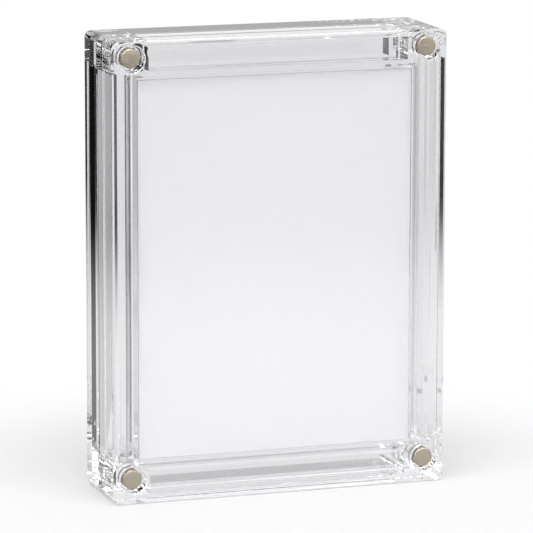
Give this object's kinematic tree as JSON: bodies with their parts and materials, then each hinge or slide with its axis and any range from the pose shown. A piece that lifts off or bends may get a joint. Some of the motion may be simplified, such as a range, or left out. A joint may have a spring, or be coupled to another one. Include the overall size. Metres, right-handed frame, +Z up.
{
  "type": "trading card display case",
  "caption": "Upright clear acrylic case in three layers held by corner magnets, with a window and a shallow pocket for a card in front of a blank white backing card.",
  "frame": {"origin": "middle of the base, on the surface that the case stands on", "axes": "+Z up along the height, +X to the right seen from the front, the window faces -Y"},
  "size_m": [0.093, 0.0262, 0.1235],
  "materials": {
    "clear_acrylic": "clear, polished",
    "white_card": "matt white",
    "nickel_plate": "nickel plated, satin"
  },
  "bodies": {
    "tray": {"card_tray": "clear_acrylic", "post_magnet_top_left": "nickel_plate", "post_magnet_top_right": "nickel_plate", "post_magnet_bottom_left": "nickel_plate", "post_magnet_bottom_right": "nickel_plate", "tray_magnet_top_left": "nickel_plate", "tray_magnet_top_right": "nickel_plate", "tray_magnet_bottom_left": "nickel_plate", "tray_magnet_bottom_right": "nickel_plate"},
    "front": {"front_cover": "clear_acrylic", "cover_magnet_top_left": "nickel_plate", "cover_magnet_top_right": "nickel_plate", "cover_magnet_bottom_left": "nickel_plate", "cover_magnet_bottom_right": "nickel_plate"},
    "rear": {"rear_cover": "clear_acrylic", "rear_magnet_top_left": "nickel_plate", "rear_magnet_top_right": "nickel_plate", "rear_magnet_bottom_left": "nickel_plate", "rear_magnet_bottom_right": "nickel_plate"},
    "card": {"backing_card": "white_card"}
  },
  "joints": [
    {"name": "front_cover_slide", "type": "slide", "parent": "tray", "child": "front", "axis": [0, -1, 0], "range_m": [0, 0.04]},
    {"name": "rear_cover_slide", "type": "slide", "parent": "tray", "child": "rear", "axis": [0, 1, 0], "range_m": [0, 0.03]},
    {"name": "backing_card_slide", "type": "slide", "parent": "tray", "child": "card", "axis": [0, -1, 0], "range_m": [0, 0.0026]}
  ]
}
